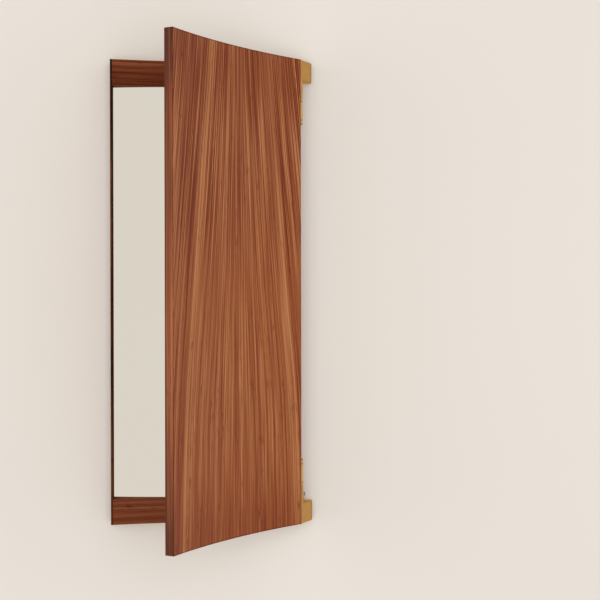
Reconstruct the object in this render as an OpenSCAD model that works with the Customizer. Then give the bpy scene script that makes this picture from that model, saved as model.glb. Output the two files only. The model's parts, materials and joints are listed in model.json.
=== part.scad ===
// Wall mirror behind a curved wooden shutter. The shutter swings on two brass barrel hinges
// whose blocks stand on the wall beside the frame. Millimetres, +Z up, wall at Y = 0,
// the front faces -Y. The origin is the middle of the back of the frame.

/* [Frame] */
// Width of the frame over its two sides
frame_w = 400; // [360:10:460]
// Height of the frame and of the shutter
frame_h = 1000; // [800:20:1200]
// Depth of the frame from the wall to its front corners
frame_d = 41; // [40:0.5:48]
// Thickness of the back board
board_t = 16; // [15:0.5:16.5]
// Thickness of each side of the frame
side_t = 4; // [2.5:0.5:5]
// Height of the top and bottom rails
rail_h = 55; // [46:1:70]

/* [Mirror] */
// Thickness of the mirror glass
glass_t = 4; // [3:0.5:4]
// Thickness of the mounting tape behind the glass
tape_t = 1; // [0.8:0.1:1.2]
// Width of one strip of mounting tape
tape_w = 20; // [12:2:30]
// Number of strips of mounting tape
tape_count = 4; // [3:1:6]
// Gap round the edge of the glass
glass_gap = 0.3; // [0.2:0.1:1]

/* [Shutter] */
// Radius of the shutter's hollow outer face
shutter_r = 1100; // [1050:10:1500]
// Thickness of the shutter's core
core_t = 17.6; // [15:0.1:20]
// Thickness of each veneer
veneer_t = 0.8; // [0.6:0.1:1.2]
// Width of the lipping round the core
lip_w = 3; // [2.5:0.5:5]
// Gap between the closed shutter and the rails
shutter_gap = 1; // [0.8:0.1:1.5]
// Angle at which the shutter stands open
open_angle = 48.3; // [0:0.1:110]

/* [Hinge] */
// Distance of the hinge axis to the right of the frame
pivot_side = 7; // [6.8:0.1:8]
// Distance of the hinge axis in front of the frame's corners
pivot_front = 12; // [10:0.5:14]
// Diameter of the hinge barrel
barrel_d = 12; // [10:0.5:12]
// Diameter of the hinge pin
pin_d = 6; // [4:0.5:7]
// Radial clearance between the pin and the turning knuckle
pin_fit = 0.05; // [0.02:0.01:0.1]
// Length of the fixed knuckle, from the end of the frame to the joint
fixed_len = 88; // [70:1:100]
// Length of the turning knuckle
moving_len = 40; // [30:1:60]
// Length of the cap at the end of the barrel
cap_len = 10; // [6:0.5:14]
// Thickness of the washer at the joint
washer_t = 1; // [0.8:0.1:1.5]
// Play between the washer and the turning knuckle
axial_play = 0.1; // [0.05:0.05:0.2]
// Height of the hinge block
block_h = 41.5; // [32:0.5:48]
// Width of the hinge block beside the frame
block_w = 35; // [30:1:42]
// Depth of the hinge block's outer side, from the wall to its slanted face
block_side_d = 23.8; // [22:0.2:28]
// Distance of the hinge block's slanted face from the hinge axis
block_face_r = 4.2; // [3:0.1:5.5]
// Radius of the hinge block's upright outer edge
block_edge_r = 2; // [1:0.5:3]
// Radius of the hinge block's outer corner, seen from the front
block_corner_r = 4; // [2:0.5:5]
// Thickness of the hinge leaf
leaf_t = 2; // [1.5:0.1:2.5]
// Width of the hinge leaf on the back of the shutter
leaf_w = 34; // [34:1:50]

/* [Fasteners] */
// Distance of the hanger plates from the sides of the frame
hanger_in = 70; // [60:5:110]
// Distance of the hanger plates' round holes below the top of the frame
hanger_drop = 104; // [100:4:200]
// Radius of the round hole in a hanger plate
hanger_hole_r = 5; // [4:0.5:5]
// Width of the slot in a hanger plate
hanger_slot_w = 5; // [4:0.5:6]
// Radius of a catch magnet
magnet_r = 5; // [4:0.5:6]
// Distance of the magnets from the left side of the frame
magnet_in = 16; // [12:1:30]
// Distance of the bumpers from the shutter's free edge
bumper_in = 34; // [28:1:50]
// Distance of the outer rail screws from the sides of the frame
rail_screw_in = 30; // [26:1:40]
// Spacing of the two rail screws of a pair
rail_screw_pitch = 50; // [40:1:60]
// Distance of the block screws from the ends of the hinge block
block_screw_in = 12; // [10:0.5:13]
// Length of a rail screw
rail_screw_l = 24; // [18:1:26]
// Length of a hinge block screw
block_screw_l = 62; // [50:1:80]
// Length of a hinge leaf screw
leaf_screw_l = 13; // [10:1:14]

/* [Hidden] */

$fn = 48;
// Facets on a full turn of the long shallow curves
curve_fn = 1440;
// Overshoot of a cut past the surface it opens
cut = 1;
// Hair's breadth left round a screw, magnet or pin in its hole
seat_fit = 0.02;

half_w = frame_w / 2;
half_h = frame_h / 2;
inner_w = half_w - side_t;
rail_z = half_h - rail_h;
glass_p = board_t + tape_t;
glass_front = glass_p + glass_t;

// All the curved faces share one upright axis in front of the mirror.
core_r1 = shutter_r + veneer_t;
core_r2 = core_r1 + core_t;
back_r = core_r2 + veneer_t;
rail_r = back_r + shutter_gap;
// The free edge is cut square to the hollow face, on a plane through the axis.
edge_a = asin(half_w / shutter_r);
free_x = -half_w - (back_r - shutter_r);
axis_p = frame_d + sqrt(rail_r * rail_r - half_w * half_w);

pivot = [half_w + pivot_side, -(frame_d + pivot_front)];
barrel_r = barrel_d / 2;
pin_r = pin_d / 2;
joint_z = half_h - fixed_len;
knuckle_z2 = joint_z - washer_t - axial_play;
knuckle_z1 = knuckle_z2 - moving_len;
cap_z1 = knuckle_z1 - cap_len;
pin_grip = fixed_len - block_h / 2;
spigot_len = 3;
end_gap = 0.5;
cap_chamfer = 1.2;

// The barrel keeps this much room beside the shutter's hinge edge.
barrel_room = pivot_side - barrel_r;
leaf_edge_in = 1.5;
leaf_edge_front = 3.5;
leaf_web = 3;
leaf_gap = 0.05;
leaf_screw_z = 12;
leaf_screw_x = [9, 26];
leaf_mid_z = (knuckle_z1 + knuckle_z2) / 2;

// Screws: shank radius and head radius
rail_screw = [2, 4];
block_screw = [2, 3.5];
leaf_screw = [1.6, 3.2];
hanger_screw = [1.4, 2.8];
hanger_screw_l = 9;
rail_screw_x = [half_w - rail_screw_in, half_w - rail_screw_in - rail_screw_pitch];
block_screw_p = board_t / 2;
block_screw_z = [block_screw_in, block_h - block_screw_in];

magnet_l = 4;
// Skin of wood left in front of a magnet, and the play that keeps a flat disc off a curved face
magnet_skin = 1.2;
disc_play = 0.05;
strike_r = magnet_r + 3;
strike_t = 1.5;
bumper_r = 4;
bumper_l = shutter_gap - 0.25;

hanger_plate = [46, 28, 1.5];
hanger_room = [20, 24, 7];
hanger_rise = 10;
hanger_screw_x = 18;
hanger_mid = 4;

stud_side = 19.5;
stud_depth = 8;
stud_pos = [half_w + stud_side, -stud_depth];
stud_r = 1;
stud_l = 19;
stud_cap_r = 1.4;
stud_cap_l = 8.5;
stud_in = 8;

walnut = "#9a5c3c";
walnut_dark = "#6e3828";
ply = "#c9a777";
brass = "#b08648";
steel = "#b9bbbd";
black = "#2a2522";

// A block between two X values, two depths from the wall and two heights
module slab(x, p, z) {
    translate([x[0], -p[1], z[0]])
        cube([x[1] - x[0], p[1] - p[0], z[1] - z[0]]);
}

// A slab cut to the shell between two radii round the common axis
module shell(r, x, z) {
    intersection() {
        slab(x, [0, frame_d * 3], z);
        translate([0, -axis_p, z[0] - cut]) difference() {
            cylinder(r = r[1], h = z[1] - z[0] + 2 * cut, $fn = curve_fn);
            translate([0, 0, -cut])
                cylinder(r = r[0], h = z[1] - z[0] + 4 * cut, $fn = curve_fn);
        }
    }
}

// A shell of the shutter from its free edge, or from an inset of it, to an X value
module shutter_shell(r, free, x, z) {
    intersection() {
        shell(r, [free_x, x], z);
        translate([0, -axis_p, z[0] - cut])
            rotate(edge_a)
                translate([free[0], 0, 0])
                    cube([free[1] - free[0], back_r + cut, z[1] - z[0] + 2 * cut]);
    }
}

// Puts a piece on a curved face: local -Y is the outward normal towards the viewer
module on_curve(r, x, z) {
    translate([0, -axis_p, z])
        rotate(-asin(x / r))
            translate([0, r, 0])
                children();
}

// Closed shutter to the angle at which it stands open
module swung() {
    translate([pivot.x, pivot.y, 0])
        rotate(open_angle)
            translate([-pivot.x, -pivot.y, 0])
                children();
}

// Upside-down copy for what the lower hinge shares with the upper one
module lower() {
    mirror([0, 0, 1]) children();
}

// Countersunk screw along +Z, its head's flat face at Z = 0, grown by a gap for its hole
module screw(size, l, gap = 0) {
    head = size[1] - size[0];
    rotate_extrude()
        polygon([[0, -gap], [size[1] + gap, -gap], [size[1] + gap, 0.4],
                 [size[0] + gap, 0.4 + head], [size[0] + gap, l - size[0] + gap],
                 [0, l + gap]]);
}

// Points of an arc that rounds the corner b between the points a and c
function unit(v) = v / norm(v);
function rounded(a, b, c, r, n = 8) =
    let (u = unit(a - b), v = unit(c - b), half = acos(u * v) / 2,
         m = b + unit(u + v) * r / sin(half),
         s = b + u * r / tan(half) - m, e = b + v * r / tan(half) - m,
         a0 = atan2(s.y, s.x), turn = atan2(s.x * e.y - s.y * e.x, s * e))
    [for (i = [0:n]) m + r * [cos(a0 + turn * i / n), sin(a0 + turn * i / n)]];

module at_rail_screws(z_sign) {
    for (x = rail_screw_x, side = [-1, 1])
        translate([side * x, 0, z_sign * (half_h - rail_h / 2)])
            rotate([90, 0, 0])
                children();
}

module at_block_screws(z_sign) {
    for (dz = block_screw_z)
        translate([half_w + block_w, -block_screw_p, z_sign * (half_h - dz)])
            rotate([0, -90, 0])
                children();
}

module block_screw_holes(z_sign) {
    at_block_screws(z_sign) screw(block_screw, block_screw_l, seat_fit);
}

module at_hangers() {
    for (side = [-1, 1])
        translate([side * (half_w - hanger_in), 0, half_h - hanger_drop])
            children();
}

module at_hanger_screws() {
    at_hangers()
        for (x = [-hanger_screw_x, hanger_screw_x])
            translate([x, 0, hanger_mid])
                rotate([90, 0, 0])
                    children();
}

module hanger_blank(gap) {
    translate([-hanger_plate[0] / 2 - gap, -hanger_plate[2], hanger_mid - hanger_plate[1] / 2 - gap])
        cube([hanger_plate[0] + 2 * gap, hanger_plate[2], hanger_plate[1] + 2 * gap]);
}

module back_board() {
    color(ply) difference() {
        slab([-inner_w, inner_w], [0, board_t], [-half_h, half_h]);
        at_hangers() {
            translate([0, cut, 0]) hanger_blank(leaf_gap);
            hanger_blank(leaf_gap);
            translate([-hanger_room[0] / 2, -hanger_plate[2] - hanger_room[2],
                       hanger_mid - hanger_room[1] / 2])
                cube([hanger_room[0], hanger_room[2] + cut, hanger_room[1]]);
        }
        at_hanger_screws() screw(hanger_screw, hanger_screw_l, seat_fit);
        for (s = [-1, 1]) {
            at_rail_screws(s) screw(rail_screw, rail_screw_l, seat_fit);
            block_screw_holes(s);
        }
    }
}

module rail(z_sign) {
    z = z_sign > 0 ? [rail_z, half_h] : [-half_h, -rail_z];
    color(walnut_dark) difference() {
        slab([-inner_w, inner_w], [board_t, frame_d], z);
        translate([0, -axis_p, z[0] - cut])
            cylinder(r = rail_r, h = rail_h + 2 * cut, $fn = curve_fn);
        at_rail_screws(z_sign) screw(rail_screw, rail_screw_l, seat_fit);
        block_screw_holes(z_sign);
        catch_hole(z_sign);
    }
}

module at_magnet(r, z_sign) {
    on_curve(r, -half_w + magnet_in, z_sign * (half_h - rail_h / 2)) children();
}

// Blind hole from the back of a rail, which stops short of its front
module catch_hole(z_sign) {
    at_magnet(rail_r, z_sign)
        translate([0, magnet_skin, 0])
            rotate([-90, 0, 0])
                cylinder(r = magnet_r + seat_fit, h = frame_d);
}

module top_rail() {
    rail(1);
}

module bottom_rail() {
    rail(-1);
}

module left_side() {
    color(walnut_dark)
        slab([-half_w, -inner_w], [0, frame_d], [-half_h, half_h]);
}

module right_side() {
    color(walnut_dark) difference() {
        slab([inner_w, half_w], [0, frame_d], [-half_h, half_h]);
        for (s = [-1, 1]) block_screw_holes(s);
    }
}

module mirror_tape() {
    pitch = 2 * inner_w / tape_count;
    color("white")
        for (i = [0:tape_count - 1])
            slab([-inner_w + pitch * (i + 0.5) - tape_w / 2, -inner_w + pitch * (i + 0.5) + tape_w / 2],
                 [board_t, glass_p], [-rail_z + rail_h / 4, rail_z - rail_h / 4]);
}

module mirror_glass() {
    color("#d9d2c5")
        slab([-inner_w + glass_gap, inner_w - glass_gap], [glass_p, glass_front],
             [-rail_z + glass_gap, rail_z - glass_gap]);
}

module rail_screws() {
    color(steel)
        for (s = [-1, 1])
            at_rail_screws(s) screw(rail_screw, rail_screw_l);
}

module hanger_plates() {
    color(steel)
        at_hangers() difference() {
            hanger_blank(0);
            translate([0, cut, 0]) rotate([90, 0, 0])
                cylinder(r = hanger_hole_r, h = hanger_plate[2] + 2 * cut);
            translate([-hanger_slot_w / 2, -hanger_plate[2] - cut, 0])
                cube([hanger_slot_w, hanger_plate[2] + 2 * cut, hanger_rise]);
            translate([0, cut, hanger_rise]) rotate([90, 0, 0])
                cylinder(d = hanger_slot_w, h = hanger_plate[2] + 2 * cut);
            for (x = [-hanger_screw_x, hanger_screw_x])
                translate([x, 0, hanger_mid]) rotate([90, 0, 0])
                    screw(hanger_screw, hanger_screw_l, seat_fit);
        }
}

module hanger_screws() {
    color(steel) at_hanger_screws() screw(hanger_screw, hanger_screw_l);
}

// Plan of the hinge block: square to the wall, slanted from its outer side to the barrel, which
// stands a little proud of the slanted face
module block_plan() {
    far = [half_w + block_w, -block_side_d];
    to_far = far - pivot;
    tangent_a = atan2(to_far.y, to_far.x) - acos(block_face_r / norm(to_far));
    touch = pivot + block_face_r * [cos(tangent_a), sin(tangent_a)];
    polygon(concat(
        [[half_w, 0], [half_w + block_w, 0]],
        rounded([half_w + block_w, 0], far, touch, block_edge_r),
        [touch, pivot, [pivot.x - barrel_r, pivot.y],
         [pivot.x - barrel_r, -frame_d + barrel_room], [half_w, -frame_d + barrel_room]]));
}

// Front outline of the block with its upper outer corner rounded
module block_front_cut() {
    corner = [half_w + block_w, half_h];
    rotate([90, 0, 0])
        linear_extrude(height = frame_d + pivot_front + barrel_d)
            polygon(concat(
                [[half_w - cut, half_h - block_h], [corner.x, half_h - block_h]],
                rounded([corner.x, half_h - block_h], corner, [half_w, half_h], block_corner_r),
                [[half_w - cut, half_h]]));
}

module hinge_block() {
    difference() {
        union() {
            intersection() {
                translate([0, 0, half_h - block_h])
                    linear_extrude(height = block_h)
                        block_plan();
                block_front_cut();
            }
            translate([pivot.x, pivot.y, joint_z])
                cylinder(r = barrel_r, h = fixed_len);
        }
        translate([pivot.x, pivot.y, joint_z - cut])
            cylinder(r = pin_r, h = pin_grip + cut);
        block_screw_holes(1);
    }
}

module top_hinge_block() {
    color(brass) hinge_block();
}

module bottom_hinge_block() {
    color(brass) difference() {
        lower() hinge_block();
        translate([stud_pos.x, stud_pos.y, -half_h + block_h - stud_in])
            cylinder(r = stud_r, h = stud_in + cut);
    }
}

module block_screws() {
    color(steel)
        for (s = [-1, 1])
            at_block_screws(s) screw(block_screw, block_screw_l);
}

module hinge_pin() {
    translate([pivot.x, pivot.y, knuckle_z1 + spigot_len + end_gap])
        cylinder(r = pin_r, h = joint_z + pin_grip - knuckle_z1 - spigot_len - end_gap);
}

module top_hinge_pin() {
    color(steel) hinge_pin();
}

module bottom_hinge_pin() {
    color(steel) lower() hinge_pin();
}

module hinge_washer() {
    translate([pivot.x, pivot.y, joint_z - washer_t]) difference() {
        cylinder(r = barrel_r, h = washer_t);
        translate([0, 0, -cut])
            cylinder(r = pin_r + pin_fit, h = washer_t + 2 * cut);
    }
}

module top_hinge_washer() {
    color("#c79c5c") hinge_washer();
}

module bottom_hinge_washer() {
    color("#c79c5c") lower() hinge_washer();
}

module catch_magnets() {
    color(steel)
        for (s = [-1, 1])
            at_magnet(rail_r, s)
                translate([0, magnet_skin, 0])
                    rotate([-90, 0, 0])
                        cylinder(r = magnet_r, h = magnet_l);
}

module adjusting_stud() {
    color(steel)
        translate([stud_pos.x, stud_pos.y, -half_h + block_h - stud_in])
            cylinder(r = stud_r, h = stud_in + stud_l - end_gap);
}

module stud_cap() {
    color(black)
        translate([stud_pos.x, stud_pos.y, -half_h + block_h + stud_l - stud_cap_l])
            difference() {
                cylinder(r = stud_cap_r, h = stud_cap_l);
                translate([0, 0, -cut])
                    cylinder(r = stud_r, h = stud_cap_l - end_gap + cut);
            }
}

// The leaf: a curved plate let into the back of the shutter and a plate on its hinge edge
module leaf_blank(gap) {
    z = [knuckle_z1 - gap, knuckle_z2 + gap];
    shell([back_r - leaf_t, back_r + gap], [half_w - leaf_w - gap, half_w + gap], z);
    slab([half_w - leaf_edge_in, half_w + barrel_room], leaf_edge_p(gap), z);
}

// Depths between which the edge plate lies, from the shutter's inner corner outwards
function leaf_edge_p(gap) =
    [axis_p - sqrt(back_r * back_r - half_w * half_w), -pivot.y + leaf_edge_front + gap];

module leaf_pockets() {
    leaf_blank(leaf_gap);
    lower() leaf_blank(leaf_gap);
}

module at_leaf_screws() {
    for (x = leaf_screw_x, dz = [-leaf_screw_z, leaf_screw_z])
        on_curve(back_r, half_w - x, leaf_mid_z + dz)
            rotate([90, 0, 0])
                children();
}

module leaf_screw_holes() {
    at_leaf_screws() screw(leaf_screw, leaf_screw_l, seat_fit);
    lower() at_leaf_screws() screw(leaf_screw, leaf_screw_l, seat_fit);
}

// Shallow pockets in the back of the core, which the back veneer covers
module strike_pockets() {
    for (s = [-1, 1])
        at_magnet(core_r2, s)
            translate([0, cut, 0])
                rotate([90, 0, 0])
                    cylinder(r = strike_r + seat_fit, h = strike_t + disc_play + cut);
}

module shutter_core() {
    color(ply) swung() difference() {
        shutter_shell([core_r1, core_r2], [lip_w, 2 * frame_w], half_w - lip_w,
                   [-half_h + lip_w, half_h - lip_w]);
        leaf_pockets();
        leaf_screw_holes();
        strike_pockets();
    }
}

module face_veneer() {
    color(walnut) swung()
        shutter_shell([shutter_r, core_r1], [0, 2 * frame_w], half_w, [-half_h, half_h]);
}

module back_veneer() {
    color(walnut) swung() difference() {
        shutter_shell([core_r2, back_r], [0, 2 * frame_w], half_w, [-half_h, half_h]);
        leaf_pockets();
    }
}

module free_edge_lipping() {
    color(walnut_dark) swung()
        shutter_shell([core_r1, core_r2], [0, lip_w], 0, [-half_h, half_h]);
}

module hinge_edge_lipping() {
    color(walnut_dark) swung() difference() {
        shell([core_r1, core_r2], [half_w - lip_w, half_w], [-half_h, half_h]);
        leaf_pockets();
    }
}

module edge_lipping() {
    shutter_shell([core_r1, core_r2], [lip_w, 2 * frame_w], half_w - lip_w, [half_h - lip_w, half_h]);
}

module top_edge_lipping() {
    color(walnut_dark) swung() edge_lipping();
}

module bottom_edge_lipping() {
    color(walnut_dark) swung() lower() edge_lipping();
}

module hinge_leaf() {
    difference() {
        union() {
            leaf_blank(0);
            translate([pivot.x, pivot.y, knuckle_z1])
                cylinder(r = barrel_r, h = moving_len);
            slab([half_w, pivot.x], [-pivot.y - leaf_web, -pivot.y + leaf_web],
                 [knuckle_z1, knuckle_z2]);
        }
        translate([pivot.x, pivot.y, knuckle_z1 - cut])
            cylinder(r = pin_r + pin_fit, h = moving_len + 2 * cut);
        at_leaf_screws() screw(leaf_screw, leaf_screw_l, seat_fit);
    }
}

module top_hinge_leaf() {
    color(brass) swung() hinge_leaf();
}

module bottom_hinge_leaf() {
    color(brass) swung() lower() hinge_leaf();
}

module leaf_screws() {
    color(steel) swung() {
        at_leaf_screws() screw(leaf_screw, leaf_screw_l);
        lower() at_leaf_screws() screw(leaf_screw, leaf_screw_l);
    }
}

module strike_plates() {
    color(steel) swung()
        for (s = [-1, 1])
            at_magnet(core_r2, s)
                translate([0, -disc_play, 0])
                    rotate([90, 0, 0])
                        cylinder(r = strike_r, h = strike_t);
}

module shutter_bumpers() {
    color("#d8d4cc") swung()
        for (s = [-1, 1])
            on_curve(back_r, -half_w + bumper_in, s * (half_h - rail_h / 2))
                translate([0, disc_play, 0])
                    rotate([-90, 0, 0])
                        cylinder(r = bumper_r, h = bumper_l);
}

// Cap that closes the barrel: a spigot in the knuckle and a turned, chamfered end
module barrel_cap() {
    translate([pivot.x, pivot.y, cap_z1])
        rotate_extrude()
            polygon([[0, 0], [barrel_r - cap_chamfer, 0], [barrel_r, cap_chamfer],
                     [barrel_r, cap_len], [pin_r + pin_fit, cap_len],
                     [pin_r + pin_fit, cap_len + spigot_len], [0, cap_len + spigot_len]]);
}

module top_barrel_cap() {
    color(brass) swung() barrel_cap();
}

module bottom_barrel_cap() {
    color(brass) swung() lower() barrel_cap();
}

back_board();
top_rail();
bottom_rail();
left_side();
right_side();
mirror_tape();
mirror_glass();
rail_screws();
hanger_plates();
hanger_screws();
top_hinge_block();
bottom_hinge_block();
block_screws();
top_hinge_pin();
bottom_hinge_pin();
top_hinge_washer();
bottom_hinge_washer();
catch_magnets();
adjusting_stud();
stud_cap();
shutter_core();
face_veneer();
back_veneer();
free_edge_lipping();
hinge_edge_lipping();
top_edge_lipping();
bottom_edge_lipping();
top_hinge_leaf();
bottom_hinge_leaf();
leaf_screws();
strike_plates();
shutter_bumpers();
top_barrel_cap();
bottom_barrel_cap();
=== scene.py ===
"""Wall mirror behind a hollow-faced walnut shutter on brass barrel hinges.

Metres, +Z up, the wall at Y = 0, the front towards -Y. Shutter pieces are worked out closed,
in front of the mirror, and then turned about the hinge axis to the angle at which they stand.
"""
import json
import math

import bmesh
import bpy
import numpy as np
from mathutils import Matrix, Vector


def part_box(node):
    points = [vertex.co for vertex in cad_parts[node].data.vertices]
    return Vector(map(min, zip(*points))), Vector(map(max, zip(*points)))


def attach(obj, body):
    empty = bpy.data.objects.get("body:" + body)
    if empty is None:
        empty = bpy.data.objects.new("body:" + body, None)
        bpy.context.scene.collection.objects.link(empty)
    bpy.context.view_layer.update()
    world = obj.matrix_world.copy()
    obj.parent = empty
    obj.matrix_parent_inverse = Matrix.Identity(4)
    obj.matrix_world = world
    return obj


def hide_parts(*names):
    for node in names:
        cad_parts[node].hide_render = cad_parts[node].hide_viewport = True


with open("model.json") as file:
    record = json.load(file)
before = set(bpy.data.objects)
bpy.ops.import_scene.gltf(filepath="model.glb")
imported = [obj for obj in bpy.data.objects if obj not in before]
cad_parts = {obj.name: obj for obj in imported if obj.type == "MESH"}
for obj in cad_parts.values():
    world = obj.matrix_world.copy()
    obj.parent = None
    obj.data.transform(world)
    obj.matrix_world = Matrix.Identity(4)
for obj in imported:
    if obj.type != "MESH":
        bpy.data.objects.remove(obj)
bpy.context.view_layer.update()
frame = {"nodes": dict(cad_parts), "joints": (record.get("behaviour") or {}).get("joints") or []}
NODES = frame["nodes"]
SWING = frame["joints"][0]


# ---------------------------------------------------------------- sizes, most of them the frame's

MM = 0.001


def span(node, axis):
    """Lowest and highest value of a node on one axis, 0 for X, 1 for Y and 2 for Z."""
    low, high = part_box(node)
    return low[axis], high[axis]


HALF_W = span("right_side", 0)[1]
HALF_H = span("right_side", 2)[1]
FRAME_D = -span("right_side", 1)[0]
INNER_W = span("right_side", 0)[0]
BOARD_T = -span("back_board", 1)[0]
RAIL_Z = span("top_rail", 2)[0]
RAIL_MIDDLE = (RAIL_Z + HALF_H) / 2
PIVOT = np.array(SWING["pos_m"][:2])
OPEN = -math.radians(SWING["range_deg"][0])
BARREL_R = (span("top_hinge_washer", 0)[1] - span("top_hinge_washer", 0)[0]) / 2
BLOCK_X = span("top_hinge_block", 0)[1]
BLOCK_H = 0.0415
BLOCK_SIDE_D = 0.0238
BLOCK_FACE_R = 0.0042
BLOCK_CORNER_R = 4 * MM
JOINT_Z = span("top_hinge_block", 2)[0]
WASHER_T = 1.0 * MM
KNUCKLE_Z = span("top_hinge_leaf", 2)
CAP_Z = span("top_barrel_cap", 2)[0]
CAP_H = 10 * MM

# The shutter's build-up, from its hollow face to its back, on one upright axis
FACE_R = 1.100
VENEER_T = 0.0008
CORE_T = 0.0176
LIP_W = 0.003
SHUTTER_GAP = 0.001
CORE_R1 = FACE_R + VENEER_T
CORE_R2 = CORE_R1 + CORE_T
BACK_R = CORE_R2 + VENEER_T
RAIL_R = BACK_R + SHUTTER_GAP
AXIS_Y = -(FRAME_D + math.sqrt(RAIL_R ** 2 - HALF_W ** 2))
FREE_A = math.asin(HALF_W / FACE_R)

# Radii of the softened edges
WOOD_EDGE = 0.5 * MM
BOARD_EDGE = 0.4 * MM
SHEET_EDGE = 0.35 * MM
LIP_EDGE = 0.2 * MM
BLOCK_EDGE = 0.4 * MM
BARREL_EDGE = 0.35 * MM
WASHER_EDGE = 0.25 * MM

# Head radius, shank radius and length of each kind of screw
RAIL_SCREW = (4 * MM, 2 * MM, 24 * MM)
HANGER_SCREW = (2.8 * MM, 1.4 * MM, 9 * MM)
BLOCK_SCREW = (3.5 * MM, 2 * MM, 62 * MM)
LEAF_SCREW = (3.2 * MM, 1.6 * MM, 13 * MM)

# Steps of the meshes: an arc at a plan's corner, a quarter round at a rim, a whole turn. Turned
# shapes end in a ring of POLE_R, and points nearer than WELD are joined
CORNER_STEPS = 6
RIM_STEPS = 4
TURN_STEPS = 48
SMOOTH_ANGLE = math.radians(35)
POLE_R = 1e-5
WELD = 1e-6


# ---------------------------------------------------------------- surfaces

def swing(points, angle=OPEN):
    """Points turned about the hinge axis, from the closed shutter to where it stands open."""
    c, s = math.cos(angle), math.sin(angle)
    out = np.array(points, float)
    x, y = out[:, 0] - PIVOT[0], out[:, 1] - PIVOT[1]
    out[:, 0], out[:, 1] = PIVOT[0] + c * x - s * y, PIVOT[1] + s * x + c * y
    return out


def upright(points):
    """Points of a piece that stays where it was worked out."""
    return np.array(points, float)


def below(points):
    """Mirror copy through Z = 0, for what the lower hinge shares with the upper one."""
    return np.array(points, float) * [1, 1, -1]


def swing_below(points):
    """The mirror copy, turned with the shutter."""
    return swing(below(points))


FRAME_ENDS = (("top", upright), ("bottom", below))
SHUTTER_ENDS = (("top", swing), ("bottom", swing_below))


def loft(rings, strips=False):
    """Vertices and faces of a stack of equal closed rings, an array (levels, points, 3).

    Face (i, j) joins points j and j+1 of rings i and i+1. Each end is shut by one many-sided face,
    or for a long thin plan by a strip of quads from point k to its opposite, point count - 1 - k.
    """
    levels, count = rings.shape[:2]
    i, j = np.meshgrid(np.arange(levels - 1), np.arange(count), indexing="ij")
    k = (j + 1) % count
    quads = np.stack([i * count + j, i * count + k, (i + 1) * count + k, (i + 1) * count + j], -1)
    faces = quads.reshape(-1, 4).tolist()
    top = (levels - 1) * count
    if strips:
        half = range(count // 2 - 1)
        faces += [[k, count - 1 - k, count - 2 - k, k + 1] for k in half]
        faces += [[top + k, top + k + 1, top + count - 2 - k, top + count - 1 - k] for k in half]
    else:
        faces += [list(range(count))[::-1], list(range(top, top + count))]
    return rings.reshape(-1, 3), faces


def piece(name, shells, material, body, node):
    """One object of the given shells, (vertices, faces) each, that stands for a node of a body."""
    verts, faces, start = [], [], 0
    for points, polygons in shells:
        verts.append(points)
        faces += [[start + v for v in f] for f in polygons]
        start += len(points)
    mesh = bpy.data.meshes.new(name)
    mesh.from_pydata(np.concatenate(verts).tolist(), [], faces)
    obj = bpy.data.objects.new(name, mesh)
    bpy.context.scene.collection.objects.link(obj)
    tidy_mesh(mesh)
    mesh.materials.append(material)
    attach(obj, body)
    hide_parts(node)
    even = obj.modifiers.new("even_shading", "WEIGHTED_NORMAL")
    even.keep_sharp = True
    return obj


def tidy_mesh(mesh):
    """Joins doubled points, drops faces of no area, turns faces outwards and smooths soft edges."""
    bm = bmesh.new()
    bm.from_mesh(mesh)
    bmesh.ops.remove_doubles(bm, verts=bm.verts, dist=WELD)
    bmesh.ops.dissolve_degenerate(bm, edges=bm.edges, dist=WELD / 10)
    bmesh.ops.recalc_face_normals(bm, faces=bm.faces)
    bm.to_mesh(mesh)
    bm.free()
    mesh.shade_smooth()
    mesh.set_sharp_from_angle(angle=SMOOTH_ANGLE)


def round_corner(a, b, c, r):
    """Arc of radius r that rounds the corner b between a and c."""
    a, b, c = (np.array(p, float) for p in (a, b, c))
    u, v = (a - b) / np.linalg.norm(a - b), (c - b) / np.linalg.norm(c - b)
    half = math.acos(np.clip(u @ v, -1, 1)) / 2
    middle = b + (u + v) / np.linalg.norm(u + v) * r / math.sin(half)
    first, last = b + u * r / math.tan(half) - middle, b + v * r / math.tan(half) - middle
    start = math.atan2(first[1], first[0])
    turn = math.atan2(first[0] * last[1] - first[1] * last[0], first @ last)
    angles = start + turn * np.linspace(0, 1, CORNER_STEPS + 1)
    return middle + r * np.stack([np.cos(angles), np.sin(angles)], -1)


def plan(*runs):
    """A closed outline seen from above, anticlockwise: runs of points as arrays, and corners
    (x, y, radius) that become arcs between their neighbours."""
    ends = [np.atleast_2d(np.array(run, float))[:, :2] for run in runs]
    done = []
    for k, run in enumerate(runs):
        if isinstance(run, tuple):
            after = ends[(k + 1) % len(runs)][0]
            done.append(round_corner(ends[k - 1][-1], ends[k][0], after, run[2]))
        else:
            done.append(ends[k])
    return np.concatenate(done)


def oblong(x, y, r):
    """Plan of a straight bar between two X and two Y values, with rounded corners."""
    return plan((x[0], y[0], r), (x[1], y[0], r), (x[1], y[1], r), (x[0], y[1], r))


def curve(radius, start, end, count=49):
    """Points on a circle round the common axis between two angles from straight behind it."""
    a = np.linspace(start, end, count)
    return np.stack([radius * np.sin(a), AXIS_Y + radius * np.cos(a)], -1)


def inset_plan(points, distance):
    """A closed outline moved inwards: each point slides along its mitre."""
    ahead = np.roll(points, -1, axis=0) - points
    ahead /= np.linalg.norm(ahead, axis=1)[:, None]
    normal = np.stack([-ahead[:, 1], ahead[:, 0]], -1)
    before = np.roll(normal, 1, axis=0)
    return points + (normal + before) / (1 + (normal * before).sum(1))[:, None] * distance


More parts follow.
